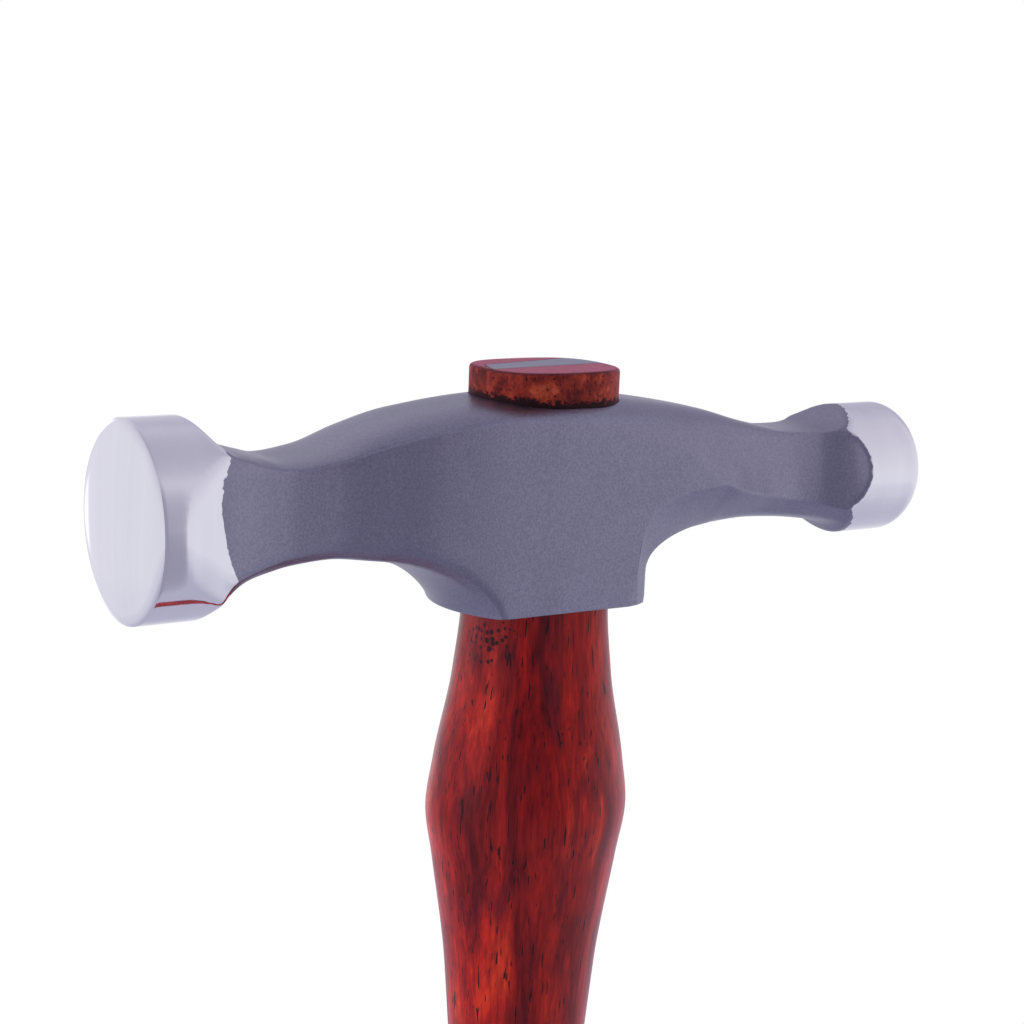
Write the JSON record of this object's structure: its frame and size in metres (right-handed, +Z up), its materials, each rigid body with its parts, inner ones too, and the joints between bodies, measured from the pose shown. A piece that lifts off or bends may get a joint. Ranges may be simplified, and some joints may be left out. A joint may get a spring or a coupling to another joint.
{
  "type": "blocking hammer",
  "caption": "Silversmith's blocking hammer: a steel head with a broad round face and a small domed face, wedged on a shaped hardwood handle.",
  "frame": {"origin": "middle of the flat at the end of the butt", "axes": "+Z up the handle to the head, +X towards the smaller domed face, -Y towards the cheek that faces the camera"},
  "size_m": [0.122, 0.0268, 0.2613],
  "materials": {
    "blasted_steel": "bead-blasted middle with mirror-polished ends",
    "red_hardwood": "satin lacquer over dark-pored grain",
    "ground_steel": "ground flush"
  },
  "bodies": {
    "root": {"hammer_head": "blasted_steel", "handle": "red_hardwood", "wedge": "ground_steel"}
  },
  "joints": []
}
